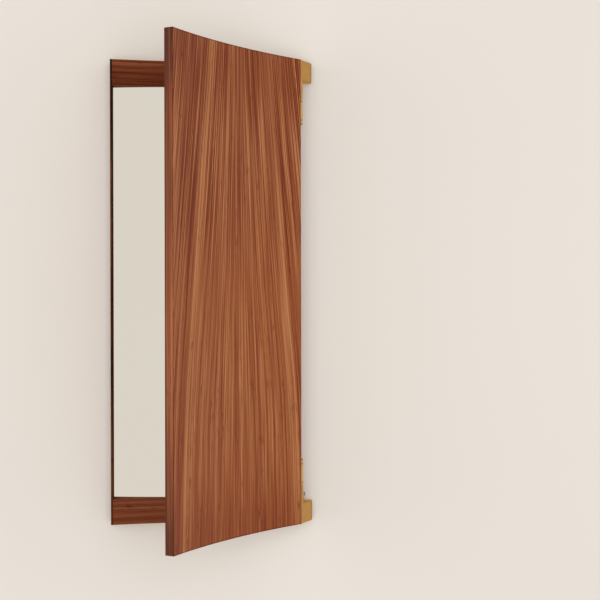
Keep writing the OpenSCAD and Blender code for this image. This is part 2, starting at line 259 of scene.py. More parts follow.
def prism(outline, z, edge, place=upright):
    """An outline carried up from z[0] to z[1] with rounded rims.

    At a rim the outline moves in by edge * (1 - sin a) at a height of edge * (1 - cos a).
    """
    a = np.linspace(0, math.pi / 2, RIM_STEPS + 1)
    inset, lift = edge * (1 - np.sin(a)), edge * (1 - np.cos(a))
    heights = np.concatenate([z[0] + lift, (z[1] - lift)[::-1]])
    insets = np.concatenate([inset, inset[::-1]])
    rings = [np.column_stack([inset_plan(outline, i), np.full(len(outline), h)])
             for i, h in zip(insets, heights)]
    verts, faces = loft(np.array(rings), strips=True)
    return place(verts), faces


def shutter_plan(radii, free, x, edge):
    """Plan of a closed shutter layer between two radii, from an inset of its free edge, which is
    square to the hollow face, to an X value."""
    front, back = radii
    first = [-FREE_A + math.asin(free / r) for r in radii]
    last = [math.asin(x / r) for r in radii]
    near = curve(front, first[0], last[0])
    far = curve(back, last[1], first[1])
    return plan((*near[0], edge), near[1:-1], (*near[-1], edge),
                (*far[0], edge), far[1:-1], (*far[-1], edge))


def turned(profile, centre, place=upright, count=TURN_STEPS):
    """A surface of revolution about an upright axis: each (r, z) of the profile becomes a ring."""
    profile = np.array(profile, float)
    a = np.linspace(0, 2 * math.pi, count, endpoint=False)
    ring = np.stack([np.cos(a), np.sin(a)], -1)
    rings = np.zeros((len(profile), count, 3))
    rings[:, :, :2] = centre + profile[:, None, :1] * ring
    rings[:, :, 2] = profile[:, 1:2]
    verts, faces = loft(rings)
    return place(verts), faces


def rounded_rod(r, z, edge):
    """Profile of a rod with rounded rims, from its lower end to its upper end."""
    a = np.linspace(0, math.pi / 2, RIM_STEPS + 1)
    low = np.stack([r - edge + edge * np.sin(a), z[0] + edge - edge * np.cos(a)], -1)
    high = np.stack([r - edge + edge * np.cos(a), z[1] - edge + edge * np.sin(a)], -1)
    return np.concatenate([[[POLE_R, z[0]]], low, high, [[POLE_R, z[1]]]])


def block_plan():
    """Plan of the hinge block: round the barrel, along the slanted face, down the outer side to
    the wall, and back beside the frame's own side."""
    far = np.array([BLOCK_X, -BLOCK_SIDE_D])
    to_far = far - PIVOT
    normal = math.atan2(to_far[1], to_far[0]) - math.acos(BLOCK_FACE_R / np.linalg.norm(to_far))
    meet = normal + math.acos(BLOCK_FACE_R / BARREL_R)
    sweep = np.linspace(-math.pi, meet, 33)
    barrel = PIVOT + BARREL_R * np.stack([np.cos(sweep), np.sin(sweep)], -1)
    room = PIVOT[0] - BARREL_R - HALF_W
    notch_y = -FRAME_D + room
    side = np.array([[BLOCK_X, 0], [HALF_W, 0], [HALF_W, notch_y], [HALF_W + room, notch_y]])
    return plan(barrel, (*far, BLOCK_CORNER_R / 2), side)


def hinge_block(place):
    """The block: its plan carried up, cut off at a quarter circle near the outer corner."""
    outline = block_plan()
    edge, corner_r = BLOCK_EDGE, BLOCK_CORNER_R
    low, high = HALF_H - BLOCK_H, HALF_H
    rim = np.linspace(0, math.pi / 2, RIM_STEPS + 1)
    corner = np.linspace(0, math.pi / 2, 2 * RIM_STEPS + 1)
    levels = [(low + edge * (1 - math.cos(a)), edge * (1 - math.sin(a))) for a in rim]
    levels += [(high - corner_r + corner_r * math.sin(a), 0.0) for a in corner
               if corner_r * math.sin(a) < corner_r - edge]
    levels += [(high - edge * (1 - math.cos(a)), edge * (1 - math.sin(a))) for a in rim[::-1]]
    rings = []
    for z, inset in levels:
        ring = inset_plan(outline, inset)
        over = max(0.0, z - (high - corner_r))
        limit = BLOCK_X - inset - (corner_r - math.sqrt(max(0.0, corner_r ** 2 - over ** 2)))
        x = np.minimum(ring[:, 0], limit)
        rings.append(np.column_stack([x, ring[:, 1], np.full(len(ring), z)]))
    verts, faces = loft(np.array(rings))
    barrel = turned(rounded_rod(BARREL_R, (JOINT_Z, low + edge), BARREL_EDGE), PIVOT, place)
    return [(place(verts), faces), barrel]


# ---------------------------------------------------------------- fasteners

def cross_depth(r, a, head_r):
    """Depth of a crosshead recess: two tapering slots at right angles that meet in the middle.

    Reach, half width and depth are parts of the head's radius; the walls lean by two soft steps.
    """
    reach, half_width, depth, side_lean, end_lean, taper = 0.62, 0.16, 0.55, 0.25, 0.12, 0.45
    x, y = np.abs(r * np.cos(a)), np.abs(r * np.sin(a))
    slot = np.minimum(np.maximum(x, y) / (reach * head_r), 1.0)
    across = np.minimum(x, y) / (half_width * head_r)
    inside = np.clip((1.0 - across) / side_lean, 0, 1) * np.clip((1.0 - slot) / end_lean, 0, 1)
    return depth * head_r * inside * (1 - taper * slot)


def screw(head_r, shank_r, length):
    """A countersunk screw along -Z with its head at Z = 0: rings of the recess, cone and shank."""
    a = np.linspace(0, 2 * math.pi, TURN_STEPS, endpoint=False)
    x, y = np.cos(a), np.sin(a)
    rings = [np.stack([r * x, r * y, -cross_depth(r, a, head_r)], -1)
             for r in np.linspace(0.02, 1.0, 15) * head_r]
    rim = 0.4 * MM
    for r, z in ((head_r, -rim), (shank_r, -rim - head_r + shank_r), (shank_r, -length + shank_r),
                 (POLE_R, -length)):
        rings.append(np.stack([r * x, r * y, np.full(TURN_STEPS, z)], -1))
    return loft(np.array(rings))


def aimed(shell, origin, direction, place=upright):
    """A shell whose +Z is turned to a direction and whose origin is moved to a point."""
    turn = np.array(Vector(direction).to_track_quat("Z", "Y").to_matrix())
    return place(shell[0] @ turn.T + np.array(origin)), shell[1]


def middles_of(node):
    """Middles of the boxes of a node's separate solids, the islands of its joined mesh."""
    bm = bmesh.new()
    bm.from_mesh(NODES[node].data)
    bmesh.ops.remove_doubles(bm, verts=bm.verts, dist=WELD)
    left, boxes = set(bm.verts), []
    while left:
        queue = [min(left, key=lambda v: v.index)]
        island = set(queue)
        while queue:
            for edge in queue.pop().link_edges:
                for v in edge.verts:
                    if v not in island:
                        island.add(v)
                        queue.append(v)
        left -= island
        points = np.array([v.co for v in island])
        boxes.append((points.min(0), points.max(0)))
    bm.free()
    boxes.sort(key=lambda box: tuple(np.round(box[0], 4)))
    return [(low + high) / 2 for low, high in boxes]


# ---------------------------------------------------------------- shader maths

class Value:
    """A shader socket on which Python's operators add Math nodes."""

    def __init__(self, shader, socket):
        self.shader, self.socket = shader, socket

    def math(self, operation, *others):
        """A Math node's result for this value and others."""
        return self.shader.node("ShaderNodeMath", {"operation": operation}, self, *others)

    def __add__(self, other):
        return self.math("ADD", other)

    def __sub__(self, other):
        return self.math("SUBTRACT", other)

    def __mul__(self, other):
        return self.math("MULTIPLY", other)

    def __truediv__(self, other):
        return self.math("DIVIDE", other)

    def __rsub__(self, other):
        return self.shader.node("ShaderNodeMath", {"operation": "SUBTRACT"}, other, self)

    def __neg__(self):
        return self * -1.0

    __radd__, __rmul__ = __add__, __mul__

    def clamp(self):
        """The value, kept between 0 and 1."""
        settings = {"operation": "MULTIPLY", "use_clamp": True}
        return self.shader.node("ShaderNodeMath", settings, self, 1.0)

    def step(self, low, high):
        """0 below low, 1 above high and a smooth rise between."""
        return self.shader.node("ShaderNodeMapRange", {"interpolation_type": "SMOOTHSTEP"},
                                self, low, high, 0.0, 1.0)


class Shader:
    """One material's node tree, ending in a Principled shader."""

    def __init__(self, name, **fixed):
        self.material = bpy.data.materials.new(name)
        self.material.use_nodes = True
        self.tree = self.material.node_tree
        self.surface = self.tree.nodes["Principled BSDF"]
        for socket, value in fixed.items():
            self.surface.inputs[socket.replace("_", " ")].default_value = value

    def node(self, kind, settings=None, *values, output=0, **named):
        """Any node: its settings are set first, then the values or links of its sockets."""
        made = self.tree.nodes.new(kind)
        for key, value in (settings or {}).items():
            if key == "stops":
                set_ramp(made.color_ramp, value)
            else:
                setattr(made, key, value)
        for key, value in [*enumerate(values), *named.items()]:
            socket = made.inputs[key if isinstance(key, int) else key.replace("_", " ")]
            if isinstance(value, Value):
                self.tree.links.new(value.socket, socket)
            else:
                socket.default_value = value
        return Value(self, made.outputs[output])

    def coords(self, place=None):
        """Object coordinates, or those of the closed shutter, as X, Y and Z values."""
        point = self.node("ShaderNodeTexCoord", output="Object")
        if place is not None:
            point = self.node("ShaderNodeMapping", None, point, place[0], place[1])
        made = self.tree.nodes.new("ShaderNodeSeparateXYZ")
        self.tree.links.new(point.socket, made.inputs[0])
        return [Value(self, made.outputs[k]) for k in range(3)]

    def noise(self, x, y, z=0.0, detail=2.0, distortion=0.0):
        """Smooth noise from 0 to 1 at a point made of three values."""
        point = self.node("ShaderNodeCombineXYZ", None, x, y, z)
        return self.node("ShaderNodeTexNoise", None, Vector=point, Scale=1.0, Detail=detail,
                         Distortion=distortion)

    def ramp(self, factor, stops):
        """A colour ramp's colour at a value."""
        return self.node("ShaderNodeValToRGB", {"stops": stops}, factor)

    def mix(self, factor, a, b):
        """Colour a where the factor is 0, colour b where it is 1."""
        made = self.tree.nodes.new("ShaderNodeMix")
        made.data_type = "RGBA"
        for index, value in ((0, factor), (6, a), (7, b)):
            if isinstance(value, Value):
                self.tree.links.new(value.socket, made.inputs[index])
            else:
                made.inputs[index].default_value = value
        return Value(self, made.outputs[2])

    def bump(self, height, distance, strength):
        """A normal roughened by a height."""
        return self.node("ShaderNodeBump", None, Height=height, Distance=distance,
                         Strength=strength)

    def feed(self, **sockets):
        """Links values that change over the surface to the Principled shader."""
        for name, value in sockets.items():
            self.tree.links.new(value.socket, self.surface.inputs[name.replace("_", " ")])
        return self.material


def set_ramp(ramp, stops):
    """Colour ramp stops as (position, colour)."""
    while len(ramp.elements) < len(stops):
        ramp.elements.new(0.5)
    for element, (position, colour) in zip(ramp.elements, stops):
        element.position, element.color = position, colour


def srgb(r, g, b):
    """Linear colour of 8-bit sRGB values."""
    def line(c):
        c /= 255
        return c / 12.92 if c <= 0.04045 else ((c + 0.055) / 1.055) ** 2.4
    return (line(r), line(g), line(b), 1.0)


def closed_place():
    """Mapping that turns the standing shutter's coordinates back to the closed shutter's."""
    turn = Matrix.Rotation(-OPEN, 3, "Z")
    pivot = Vector((*PIVOT, 0))
    return tuple(pivot - turn @ pivot), (0.0, 0.0, -OPEN)


# ---------------------------------------------------------------- walnut

# Long streaks of the face at mid height, in millimetres: distance from the middle, reach to the
# left and right of it, and strength, pale above 0 and dark below. Thin ones fade downwards; the
# two tan bands with their dark borders run all the way. One colour ramp holds ten of them.
STREAK_REACH = 0.25
LEFT_STREAKS = [(-238, 4, 4, 0.35), (-212, 5, 5, -0.1), (-204, 4, 5, 0.3), (-182, 5, 5, -0.2),
                (-93, 4, 5, -0.25), (-81, 4, 3, 0.5), (-58, 9, 7, -0.5), (-40, 4, 4, 0.75),
                (-28, 4, 4, -0.45), (-18, 3, 3, 0.35)]
RIGHT_STREAKS = [(15, 7, 6, 0.3), (46, 4, 4, -0.2), (70, 5, 4, -0.5), (82, 4, 5, 0.65),
                 (94, 6, 6, -0.6), (118, 4, 5, -0.1), (190, 6, 6, -0.4), (204, 4, 5, 0.1),
                 (220, 6, 6, 0.3)]
TAN_BANDS = [(-151, 8, 9, -0.6), (-131, 5, 26, 0.62), (157, 24, 6, 0.6), (173, 7, 8, -0.55)]

# Across a shutter edge, from the face veneer to the back veneer: a dark glue line and a dark arris
LIP_BANDS = [(0.0, 0.36), (0.05, 0.42), (0.12, 0.5), (0.86, 0.5), (0.93, 0.15), (1.0, 0.0)]

# Five tones from the darkest line to the palest streak, and the plum cast of some bands
TONE_PLACES = (0.16, 0.34, 0.52, 0.70, 0.90)
WALNUT_TONES = [srgb(101, 35, 4), srgb(130, 60, 25), srgb(149, 82, 41), srgb(167, 103, 61),
                srgb(186, 126, 84), srgb(129, 60, 35)]
RAIL_TONES = [srgb(60, 22, 10), srgb(88, 38, 17), srgb(109, 52, 27), srgb(124, 66, 40),
              srgb(140, 82, 55), srgb(92, 38, 25)]
LIP_TONES = [srgb(68, 29, 11), srgb(115, 58, 30), srgb(136, 75, 42), srgb(152, 90, 54),
             srgb(168, 104, 66), srgb(113, 54, 34)]
# Far darker tones for the sides' front edges: painted shade on the same walnut as the rails
SHADED_SIDE_TONES = [srgb(34, 15, 4), srgb(50, 25, 8), srgb(64, 34, 13), srgb(84, 48, 20),
              srgb(104, 64, 30), srgb(50, 24, 10)]
TAN_LOW, TAN_HIGH = srgb(145, 81, 39), srgb(182, 121, 72)

# How far the grain lines wander from side to side, slowly and quickly
WANDER, WAVER = 8 * MM, 1.4 * MM

# Noise of the grain: rate per metre across and along it, number of its seed, detail, and whether
# it is finer on the rails
GRAIN = {
    "band": (30.0, 0.9, 3, 1.0, False),
    "line": (105.0, 1.6, 4, 1.5, True),
    "thin line": (240.0, 2.6, 12, 1.0, True),
    "hair line": (400.0, 2.2, 5, 1.5, True),
    "fibre": (1250.0, 9.0, 6, 2.0, False),
    "broken streak": (14.0, 3.2, 7, 1.0, False),
    "plum": (62.0, 1.4, 8, 1.0, True),
    "vessel": (240.0, 2.0, 9, 1.0, True),
    "pore": (450.0, 34.0, 10, 1.0, False),
    "pored band": (40.0, 6.0, 11, 1.0, False),
}


def fan_line(u, v):
    """Which grain line a point of the face is on, as the line's own distance from the middle.

    q = w * asinh(sinh(u / w) * exp(G(v) / w)), with u from the line at u0: lines are upright there
    and splay outwards going down by tanh(u / w) * G'(v), where G' falls from 0.125 above to 0.025
    near the bottom.
    """
    u0, w, knee, soft, mean, swell = 0.012, 0.08, -0.24, 0.1, 0.075, 0.05
    level = v - knee
    bend = (level * level + soft ** 2).math("SQRT")
    start = mean * -knee + swell * math.hypot(knee, soft)
    slide = level * mean + bend * swell - start
    grown = ((u - u0) / w).math("SINH") * (slide / w).math("EXPONENT")
    root = (grown * grown + 1.0).math("SQRT")
    return (grown.math("ABSOLUTE") + root).math("LOGARITHM", math.e) * grown.math("SIGN") * w + u0


def streak_stops(streaks):
    """Grey ramp stops for streaks from -STREAK_REACH to STREAK_REACH: 0.5 between them."""
    stops = [(0.0, 0.5)]
    for middle, left, right, strength in streaks:
        for shift, level in ((-left, 0.5), (0, 0.5 + strength / 2), (right, 0.5)):
            place = (middle + shift) * MM / (2 * STREAK_REACH) + 0.5
            if level != 0.5 or place > stops[-1][0] + 1e-4:
                stops.append((place, level))
    return greys(stops)


def greys(stops):
    """Ramp stops of grey levels."""
    return [(place, (level, level, level, 1)) for place, level in stops]


def face_tone(s, tone, uvq, lines, thin, broken):
    """The tone with what only the hollow face has, and its streaks alone.

    Thin grain stands out above and fades below, the ends are darker in painted shade where less
    light falls, the upper left is darker, and a dark line runs along the top and bottom arris.
    """
    u, v, q = uvq
    left, right, wide = (s.ramp(q / (2 * STREAK_REACH) + 0.5, streak_stops(streaks)) - 0.5
                         for streaks in (LEFT_STREAKS, RIGHT_STREAKS, TAN_BANDS))
    pale = (left + right) * (broken * 0.45 + 0.45) * (v.step(-0.1, 0.35) * 0.6 + 0.4)
    pale = pale + wide * (broken * 0.3 + 0.55) * (1.0 - v.step(0.16, 0.4) * 0.25)
    upper, lower = v.step(-0.1, 0.4), (-v).step(0.0, 0.3)
    tone = tone + pale + (lines * 0.4 + thin * 1.15) * upper - lines * lower * 0.4
    # Painted shade: darker towards the top and bottom ends, where less light falls
    tone = tone - v.step(0.28, 0.48) * 0.17 - (-v).step(0.34, 0.5) * 0.13
    tone = tone - v.math("ABSOLUTE").step(HALF_H - 3 * MM, HALF_H - 1.5 * MM) * 0.25
    tone = tone - (-u).step(0.06, 0.14) * v.step(-0.05, 0.3) * 0.11
    return tone, pale


def edge_tone(s, tone, deep, v):
    """The tone of a shutter edge: its bands across, a pale one strongest at mid height, and ends
    darkened by painted shade. The depth goes from 0 at the face veneer to 1 at the back veneer."""
    band = deep.step(0.04, 0.10) - deep.step(0.32, 0.42)
    middle = 1.0 - (v - 0.07).math("ABSOLUTE").step(0.2, 0.42)
    # The last term is painted shade: darker towards the ends, where less light falls
    return tone + s.ramp(deep, greys(LIP_BANDS)) - 0.5 + band * middle * 0.3 - v * v * 1.3


def walnut(name, across, along, tones, seed, place=None, fan=False, gloss=0.44, drift=1.0,
           contrast=1.0, lift=0.0, shine=0.3, rim=None, fine=1.0, slope=0.0, fall=0.0, middle=0.0):
    """Oiled walnut. The tone is a sum of noise stretched along the grain, from broad bands down to
    fibres, and dark vessel lines and short open pores lie over it.

    Grain runs along one axis and is counted across another, or, across the edges of the shutter,
    by the depth behind its face veneer. A rim is the side on which the sheet ends in a dark arris.
    The tone changes by slope per metre along and by fall per metre across the middle; on the rails
    the fall paints light from above.
    """
    s = Shader(name, Specular_IOR_Level=shine)
    xyz = s.coords(place)
    v = xyz[along]
    if across == "depth":
        y = xyz[1] - AXIS_Y
        u = (xyz[0] * xyz[0] + y * y).math("SQRT") - CORE_R1
    else:
        u = xyz[across]
    q = fan_line(u, v) if fan else u
    q = q + (s.noise(q * 9.0, v * 1.9, seed + 1.0) - 0.5) * (WANDER * drift)
    q = q + (s.noise(q * 60.0, v * 9.0, seed + 2.0) - 0.5) * (WAVER * drift)

    def grain(kind):
        rate, rate_along, number, detail, finer = GRAIN[kind]
        return s.noise(q * (rate * (fine if finer else 1.0)), v * rate_along, seed + number, detail)

    lines = (grain("band") - 0.5) * 0.15 + (grain("line") - 0.5) * 0.45
    thin = (grain("thin line") - 0.5) * 0.7 + (grain("hair line") - 0.5) * 1.3
    fibre = grain("fibre")
    tone = 0.5 + lift - v * slope + (u - middle) * fall + (lines + thin + fibre - 0.5) * contrast
    if fan:
        broken = grain("broken streak").step(0.25, 0.6)
        tone, pale = face_tone(s, tone, (u, v, q), lines, thin, broken)
    if rim:
        arris = 1.0 - (u - rim).step(0.8 * MM, 2.4 * MM)
        tone = tone - arris * (v.math("ABSOLUTE").step(0.1, 0.4) * 0.25 + 0.1)
    if across == "depth":
        tone = edge_tone(s, tone, u / CORE_T, v)
    colour = s.ramp(tone, list(zip(TONE_PLACES, tones)))
    if fan:
        tan = s.mix(tone.step(0.3, 0.9), TAN_LOW, TAN_HIGH)
        colour = s.mix((pale * 2.2).clamp(), colour, tan)
    colour = s.mix(grain("plum").step(0.48, 0.68) * 0.4, colour, tones[5])
    colour = s.mix(grain("vessel").step(0.60, 0.70) * 0.4, colour, tones[0])
    pores = grain("pore").step(0.57, 0.68) * grain("pored band").step(0.48, 0.62)
    colour = s.mix(pores * 0.6, colour, tones[0])
    return s.feed(Base_Color=colour, Roughness=gloss + 0.06 - tone * 0.12 + pores * 0.15,
                  Normal=s.bump(fibre * 0.4 - pores, 0.08 * MM, 0.35))


# ---------------------------------------------------------------- other finishes

TARNISH, POLISH = (0.15, 0.08, 0.03, 1), (0.86, 0.62, 0.30, 1)
# Brass in painted shade, for the block's upright outer edge where it would mirror the shaded wall
EDGE_SHADE_BRASS = (0.30, 0.17, 0.055, 1)
PLY_TONES = [(0.3, srgb(186, 152, 108)), (0.5, srgb(208, 178, 134)), (0.7, srgb(222, 196, 154))]
PLY_EDGE = srgb(150, 112, 74)


def brushed_brass(name, along, low, high, place=None, rings=()):
    """Satin brass with hair-fine brush lines along one axis, a faint cloud of handling, painted
    shade towards the block's upright outer edge, where it would mirror the shaded wall, and rings
    (height, half width, colour) of tarnish or polish at the joints of the barrel, alike above and
    below the middle."""
    s = Shader(name, Metallic=1.0, Specular_Tint=(0.72, 0.55, 0.36, 1))
    xyz = s.coords(place)
    across_rate, along_rate, cloud_rate = 2600.0, 30.0, 60.0
    hair = s.noise(*(xyz[k] * (along_rate if k == along else across_rate) for k in range(3)))
    cloud = s.noise(*(xyz[k] * cloud_rate for k in range(3)))
    colour = s.ramp(hair * 0.5 + cloud * 0.5, [(0.35, low), (0.65, high)])
    if place is None:
        # Painted shade: the brass darkens towards the block's upright outer edge
        outer = xyz[0].step(BLOCK_X - 2.8 * MM, BLOCK_X - 0.8 * MM)
        colour = s.mix(outer * 0.55, colour, EDGE_SHADE_BRASS)
    for height, half, tint in rings:
        off = (xyz[2].math("ABSOLUTE") - height).math("ABSOLUTE")
        colour = s.mix((1.0 - off.step(half * 0.7, half)) * 0.8, colour, tint)
    return s.feed(Base_Color=colour, Roughness=0.34 + hair * 0.12 + cloud * 0.06,
                  Normal=s.bump(hair, 0.02 * MM, 0.25))


def plated_steel(name, colour, roughness):
    """Bright plated steel with fine mottling."""
    s = Shader(name, Metallic=1.0)
    x, y, z = s.coords()
    grain = s.noise(x * 900.0, y * 900.0, z * 900.0, 3.0)
    cloud = s.noise(x * 120.0, y * 120.0, z * 120.0)
    low = tuple(c * 0.82 for c in colour[:3]) + (1.0,)
    return s.feed(Base_Color=s.mix(cloud.step(0.35, 0.65), low, colour),
                  Roughness=roughness + grain * 0.14, Normal=s.bump(grain, 0.02 * MM, 0.2))


def mirror_silver():
    """The silvered face seen through clear glass: a faint warm tint, cloudy by a hair."""
    s = Shader("mirror_silver", Metallic=1.0)
    x, y, z = s.coords()
    cloud = s.noise(x * 3.0, y * 3.0, z * 3.0, 1.0)
    colour = s.mix(cloud, (0.886, 0.876, 0.808, 1), (0.90, 0.89, 0.826, 1))
    return s.feed(Base_Color=colour, Roughness=0.012 + cloud * 0.006)


def glass_rim():
    """The ground green rim of the mirror glass."""
    s = Shader("glass_rim")
    x, y, z = s.coords()
    grain = s.noise(x * 700.0, y * 700.0, z * 700.0)
    return s.feed(Base_Color=s.mix(grain, (0.24, 0.36, 0.30, 1), (0.34, 0.46, 0.39, 1)),
                  Roughness=0.22 + grain * 0.2)


def plywood(name, ply, place=None):
    """Birch ply: pale faces with long upright grain, and darker layers where it is cut across.

    Layers are as thick as ply, counted along Y.
    """
    s = Shader(name)
    x, y, z = s.coords(place)
    grain = s.noise(x * 180.0, y * 500.0, z * 5.0, 3.0)
    figure = s.noise(x * 14.0, y * 40.0, z * 1.2, 1.0, distortion=0.4)
    layer = (y / ply).math("FLOOR").math("MODULO", 2.0).math("ABSOLUTE")
    normal = s.node("ShaderNodeNewGeometry", output="Normal")
    facing = s.node("ShaderNodeVectorMath", {"operation": "DOT_PRODUCT"}, normal, (0.0, 1.0, 0.0),
                    output="Value")
    on_edge = 1.0 - facing.math("ABSOLUTE").step(0.4, 0.9)
    colour = s.mix(layer * on_edge * 0.5, s.ramp(grain * 0.5 + figure * 0.5, PLY_TONES), PLY_EDGE)
    return s.feed(Base_Color=colour, Roughness=0.58 + grain * 0.12,
                  Normal=s.bump(grain, 0.06 * MM, 0.4))


def moulded(name, low, high, roughness):
    """A moulded or foamed plastic: two near tones in a fine grain."""
    s = Shader(name)
    x, y, z = s.coords()
    grain = s.noise(x * 900.0, y * 900.0, z * 900.0)
    return s.feed(Base_Color=s.mix(grain, low, high), Roughness=roughness + grain * 0.12,
                  Normal=s.bump(grain, 0.04 * MM, 0.3))


# A walnut piece's second and third values are the axes across and along its grain
CLOSED = closed_place()
FACE_WALNUT = walnut("face_walnut", 0, 2, WALNUT_TONES, 3.0, CLOSED, fan=True, rim=-HALF_W,
                     contrast=0.87, lift=0.02, shine=0.2)
BACK_WALNUT = walnut("back_walnut", 0, 2, WALNUT_TONES, 41.0, CLOSED,
                     rim=-BACK_R * math.sin(FREE_A))
LIP_WALNUT = walnut("lip_walnut", "depth", 2, LIP_TONES, 12.0, CLOSED, drift=0.2, contrast=0.75)
END_WALNUT = walnut("end_walnut", "depth", 0, LIP_TONES, 17.0, CLOSED, drift=0.2, contrast=0.75)
# Painted light from above: fall makes each rail paler towards its upper edge and darker towards its
# lower one
TOP_RAIL_WALNUT = walnut("top_rail_walnut", 2, 0, RAIL_TONES, 23.0, drift=0.5, contrast=0.8,
                         shine=0.08, gloss=0.55, fine=1.5, fall=4.0, middle=RAIL_MIDDLE)
LOW_RAIL_WALNUT = walnut("low_rail_walnut", 2, 0, RAIL_TONES, 27.0, drift=0.5, contrast=0.5,
                         lift=0.19, shine=0.08, gloss=0.55, fine=1.5, fall=2.2,
                         middle=-RAIL_MIDDLE)
# Painted light: a paler walnut on the rails' faces that look into the frame, for the light the
# mirror throws on them
LIT_INNER_RAIL_WALNUT = walnut("inner_walnut", 1, 0, WALNUT_TONES, 35.0, drift=0.3, contrast=0.8,
                           lift=0.2, shine=0.0)
# Painted shade: the sides' front, back and end faces take very dark walnut, lighter towards the
# bottom
SHADED_SIDE_WALNUT = walnut("side_walnut", 1, 2, SHADED_SIDE_TONES, 31.0, drift=0.2, shine=0.0, gloss=0.7,
                     slope=0.35)
INNER_SIDE_WALNUT = walnut("inner_side_walnut", 1, 2, RAIL_TONES, 33.0, drift=0.3, contrast=0.6,
                           shine=0.0)
OUTER_SIDE_WALNUT = walnut("outer_walnut", 1, 2, RAIL_TONES, 37.0, drift=0.4, contrast=0.8,
                           shine=0.2)
BLOCK_BRASS = brushed_brass("block_brass", 2, (0.55, 0.312, 0.108, 1), (0.645, 0.38, 0.146, 1),
                            rings=[(JOINT_Z + 1.7 * MM, 1.3 * MM, POLISH)])
LEAF_BRASS = brushed_brass("leaf_brass", 2, (0.66, 0.43, 0.165, 1), (0.76, 0.52, 0.22, 1), CLOSED,
                           [(CAP_Z, 2.2 * MM, TARNISH), (CAP_Z + CAP_H, 1.0 * MM, TARNISH),
                            (KNUCKLE_Z[1], 0.7 * MM, TARNISH)])
# Far darker than the block's brass, for the dark line at the joint: partly a darker metal, partly
# painted shade in the gap between the knuckles
WASHER_BRASS = brushed_brass("washer_brass", 0, (0.16, 0.085, 0.03, 1), (0.22, 0.12, 0.045, 1))
ZINC = plated_steel("zinc_steel", (0.66, 0.67, 0.68, 1), 0.30)
PIN_STEEL = plated_steel("pin_steel", (0.84, 0.82, 0.79, 1), 0.22)
STUD_STEEL = plated_steel("stud_steel", (0.95, 0.93, 0.89, 1), 0.4)
NICKEL = plated_steel("nickel", (0.70, 0.69, 0.67, 1), 0.12)
SILVER = mirror_silver()
GLASS_RIM = glass_rim()
BOARD_PLY = plywood("board_ply", 1.5 * MM)
CORE_PLY = plywood("core_ply", 1.4 * MM, CLOSED)
TAPE = moulded("foam_tape", srgb(226, 224, 218), srgb(240, 238, 232), 0.75)
BUMPER = moulded("clear_bumper", srgb(206, 204, 198), srgb(222, 220, 214), 0.25)
DULL_CAP = moulded("dull_cap", srgb(140, 122, 94), srgb(160, 142, 114), 0.5)


# ---------------------------------------------------------------- the frame

def paint(node, material):
    """Gives a CAD node that keeps its own shape its finish."""
    slots = NODES[node].data.materials
    slots.clear()
    slots.append(material)


# How squarely a face has to look some way to take the finish of that side
FACING = 0.9


def give_faces(obj, material, chosen):
    """One more finish, on the faces whose normal is chosen."""
    obj.data.materials.append(material)
    for face in obj.data.polygons:
        if chosen(face.normal):
            face.material_index = len(obj.data.materials) - 1


def make_frame():
    """The rails with their hollow fronts, the sides and the board behind.

    Faces that look into the frame, and the outer faces of the sides, have finishes of their own:
    the rails' inner faces a paler walnut, painted light, and the rest of each side a very dark one,
    painted shade.
    """
    angle = math.asin(INNER_W / RAIL_R)
    front = curve(RAIL_R, -angle, angle, 65)
    back = np.stack([front[::-1, 0], np.full(len(front), -BOARD_T)], -1)
    outline = plan((*front[0], WOOD_EDGE), front[1:-1], (*front[-1], WOOD_EDGE),
                   (*back[0], WOOD_EDGE), back[1:-1], (*back[-1], WOOD_EDGE))
    for name, up, finish in (("top_rail", 1, TOP_RAIL_WALNUT),
                             ("bottom_rail", -1, LOW_RAIL_WALNUT)):
        shell = prism(outline, sorted((up * RAIL_Z, up * HALF_H)), WOOD_EDGE)
        rail = piece(f"{name}_walnut", [shell], finish, "frame", name)
        # Painted light on the rails' faces that look into the frame
        give_faces(rail, LIT_INNER_RAIL_WALNUT, lambda normal: normal.z * up < -FACING)
    for name, out in (("left_side", -1), ("right_side", 1)):
        outline = oblong(span(name, 0), (-FRAME_D, 0.0), BOARD_EDGE)
        shell = prism(outline, (-HALF_H, HALF_H), BOARD_EDGE)
        # Each side starts in very dark walnut, painted shade; its inner and outer faces then get
        # paler finishes
        side = piece(f"{name}_walnut", [shell], SHADED_SIDE_WALNUT, "frame", name)
        give_faces(side, INNER_SIDE_WALNUT, lambda normal: normal.x * out < -FACING)
        give_faces(side, OUTER_SIDE_WALNUT, lambda normal: normal.x * out > FACING)
    paint("back_board", BOARD_PLY)
    paint("mirror_tape", TAPE)
    paint("hanger_plates", ZINC)
    paint("catch_magnets", NICKEL)


def make_mirror():
    """The glass with its ground rim; only its front face is the silvered one."""
    low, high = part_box("mirror_glass")
    outline = oblong((low.x, high.x), (low.y, high.y), BOARD_EDGE)
    shell = prism(outline, (low.z, high.z), BOARD_EDGE)
    glass = piece("mirror_pane", [shell], SILVER, "frame", "mirror_glass")
    give_faces(glass, GLASS_RIM, lambda normal: normal.y > -0.999)


def make_blocks():
    """Hinge blocks, pins and washers of both hinges."""
    washer = rounded_rod(BARREL_R, (JOINT_Z - WASHER_T, JOINT_Z), WASHER_EDGE)
    for name, place in FRAME_ENDS:
        piece(f"{name}_block", hinge_block(place), BLOCK_BRASS, "frame", f"{name}_hinge_block")
        piece(f"{name}_washer", [turned(washer, PIVOT, place)], WASHER_BRASS, "frame",
              f"{name}_hinge_washer")
        paint(f"{name}_hinge_pin", PIN_STEEL)


